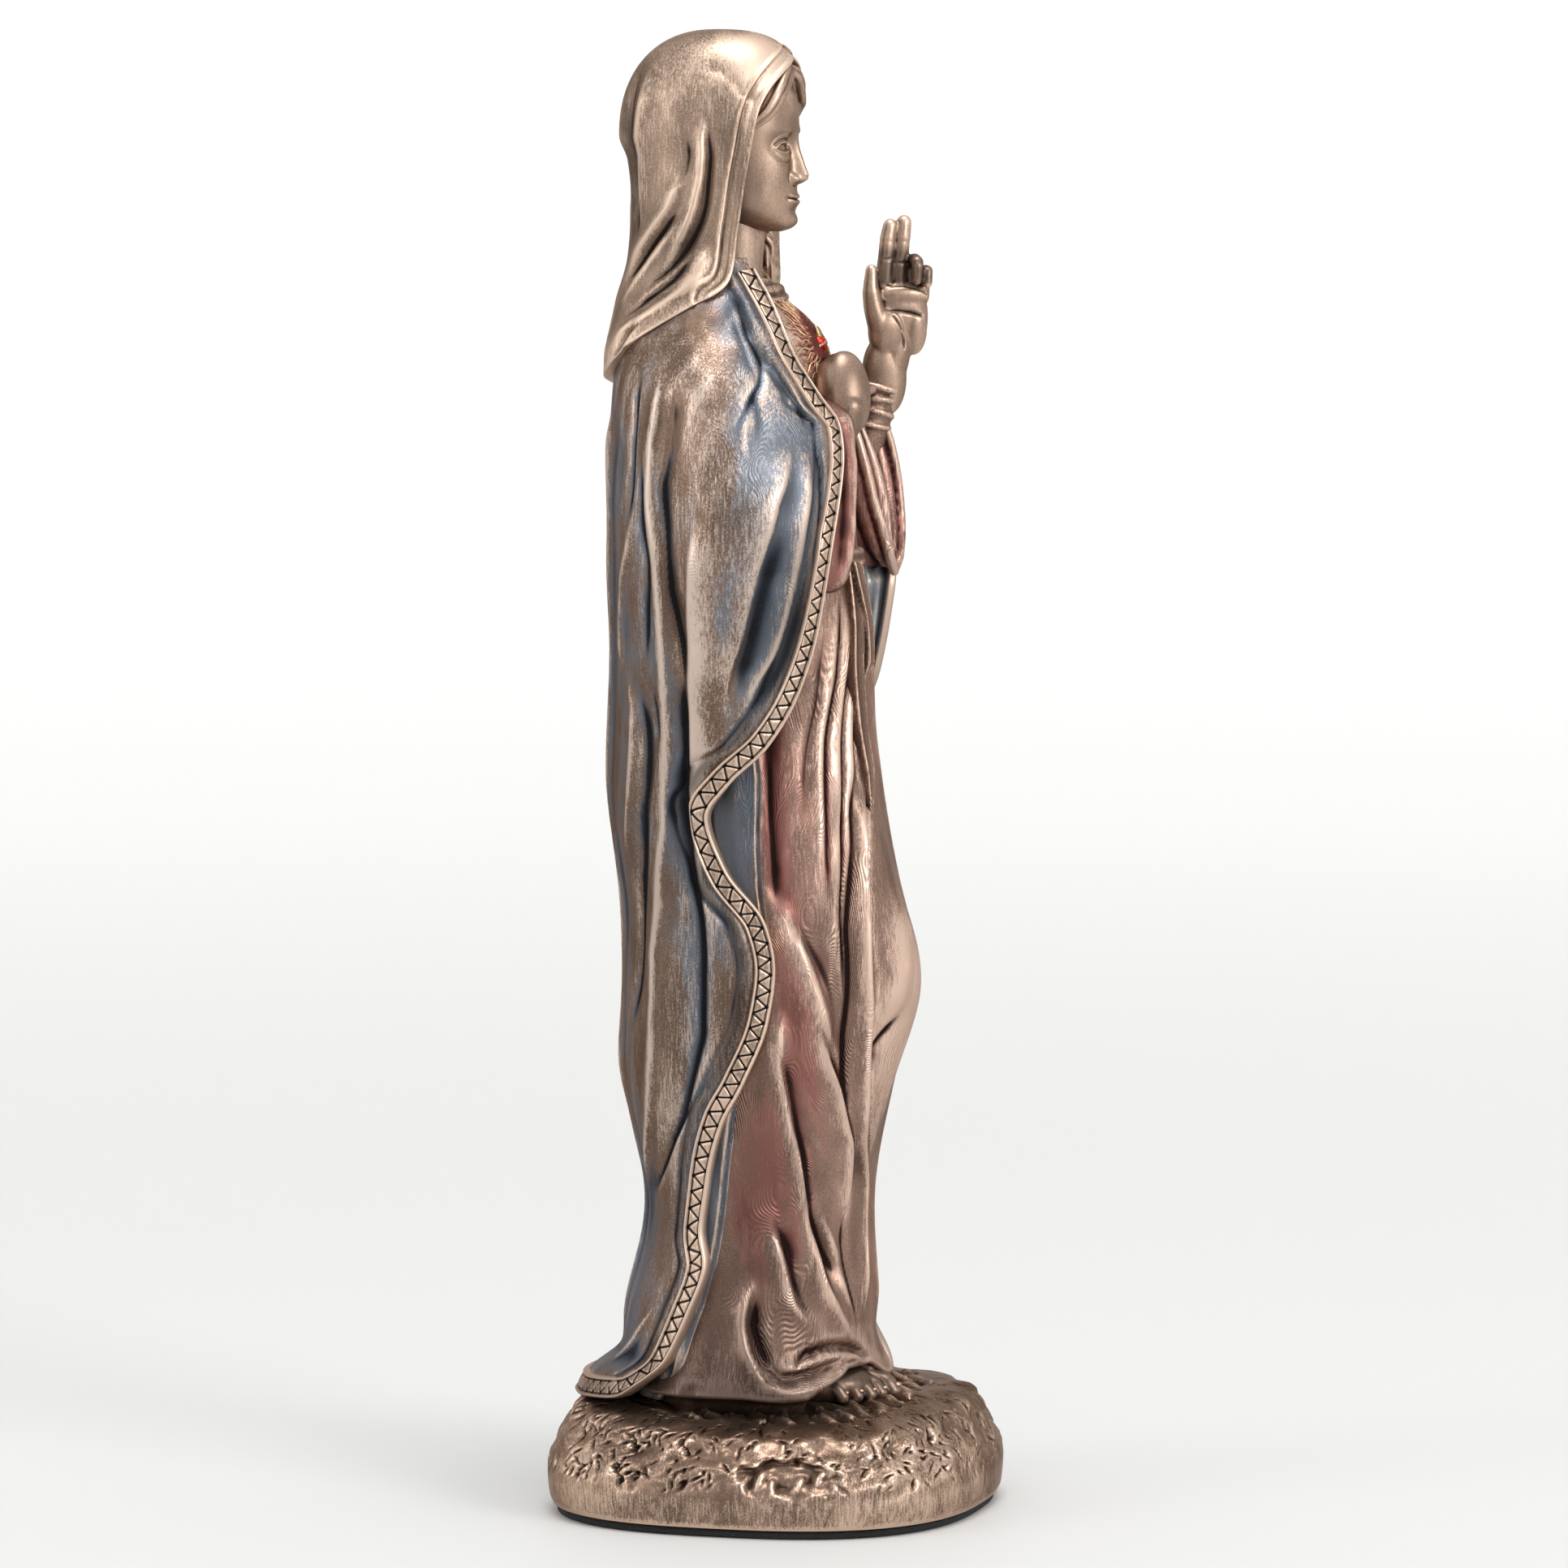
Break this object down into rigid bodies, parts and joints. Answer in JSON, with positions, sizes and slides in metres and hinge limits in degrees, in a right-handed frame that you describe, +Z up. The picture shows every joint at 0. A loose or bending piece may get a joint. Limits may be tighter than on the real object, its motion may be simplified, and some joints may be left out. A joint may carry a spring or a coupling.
{
  "type": "devotional statuette",
  "caption": "Standing veiled woman with one hand raised and one at a rayed heart, in a long draped mantle, cast on a low rounded rock base with a felt pad.",
  "frame": {"origin": "middle of the felt pad's underside, on the surface that the statue stands on", "axes": "+Z up, the figure faces -Y, its right side is -X"},
  "size_m": [0.0899, 0.0864, 0.2895],
  "materials": {
    "bronze_finish": "cold-cast resin rubbed with bronze, satin",
    "blue_patina": "slate blue wash rubbed over bronze, satin",
    "rose_patina": "dusty rose wash rubbed over bronze, satin",
    "heart_red": "red paint, satin",
    "ray_gold": "gold paint, satin",
    "felt": "black felt"
  },
  "bodies": {
    "root": {"statue": "bronze_finish", "felt_pad": "felt"}
  },
  "joints": []
}
